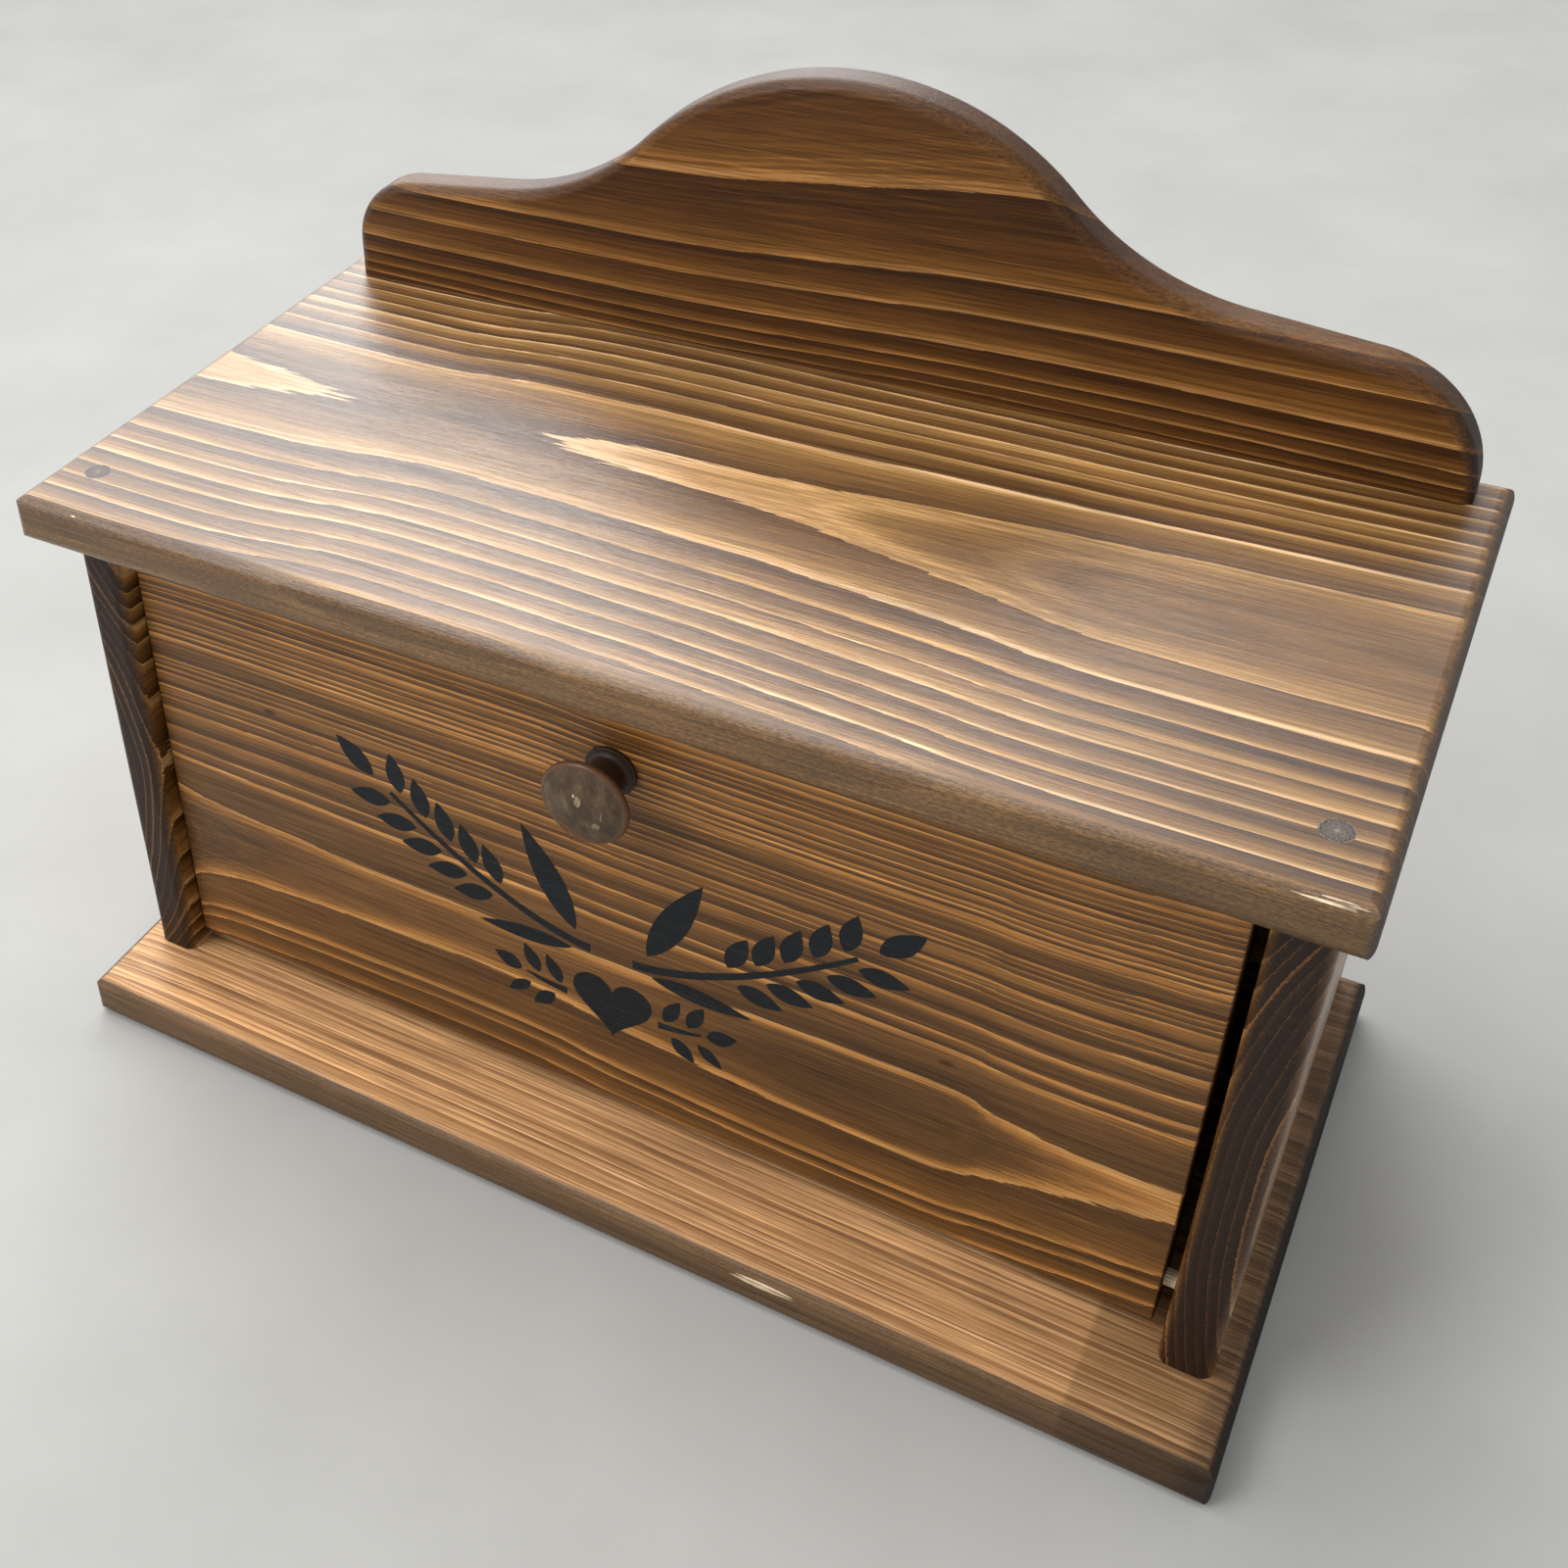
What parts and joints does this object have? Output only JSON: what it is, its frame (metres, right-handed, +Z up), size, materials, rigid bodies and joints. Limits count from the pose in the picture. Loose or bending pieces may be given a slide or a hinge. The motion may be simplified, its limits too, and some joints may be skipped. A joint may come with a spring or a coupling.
{
  "type": "bread box",
  "caption": "Country-style wooden bread box with a drop-down front on dowel pivots, a turned knob, a scalloped backsplash and rounded board edges.",
  "frame": {"origin": "centre of the base board's underside", "axes": "+X to the right when facing the door, along the box's width; +Y towards the back; +Z up"},
  "size_m": [0.484, 0.256, 0.377],
  "materials": {
    "base_pine": "dark stain, semi-gloss lacquer",
    "top_pine": "dark stain, semi-gloss lacquer",
    "side_pine": "very dark stain, semi-gloss lacquer",
    "backsplash_pine": "dark stain, semi-gloss lacquer",
    "door_pine": "dark stain, satin lacquer",
    "plywood": "thin stain, matt",
    "plug_wood": "end grain, dark stain",
    "dowel_wood": "bare birch",
    "knob_wood": "turned, worn dark stain",
    "catch_plastic": "brown moulded",
    "magnet": "sintered ferrite",
    "steel": "zinc plated"
  },
  "bodies": {
    "case": {"base_board": "base_pine", "left_side": "side_pine", "right_side": "side_pine", "top_board": "top_pine", "backsplash": "backsplash_pine", "back_panel": "plywood", "back_panel_nails": "steel", "top_screws": "steel", "base_screws": "steel", "backsplash_screws": "steel", "left_plug": "plug_wood", "right_plug": "plug_wood", "left_pivot_dowel": "dowel_wood", "right_pivot_dowel": "dowel_wood", "catch_housing": "catch_plastic", "catch_magnet": "magnet", "catch_pole_plates": "steel", "catch_screws": "steel"},
    "door": {"door_panel": "door_pine", "door_knob": "knob_wood", "knob_screw": "steel", "strike_plate": "steel", "strike_screw": "steel"}
  },
  "joints": [
    {"name": "door_hinge", "type": "hinge", "parent": "case", "child": "door", "pos_m": [0, -0.0765, 0.044], "axis": [1, 0, 0], "range_deg": [0, 94]}
  ]
}
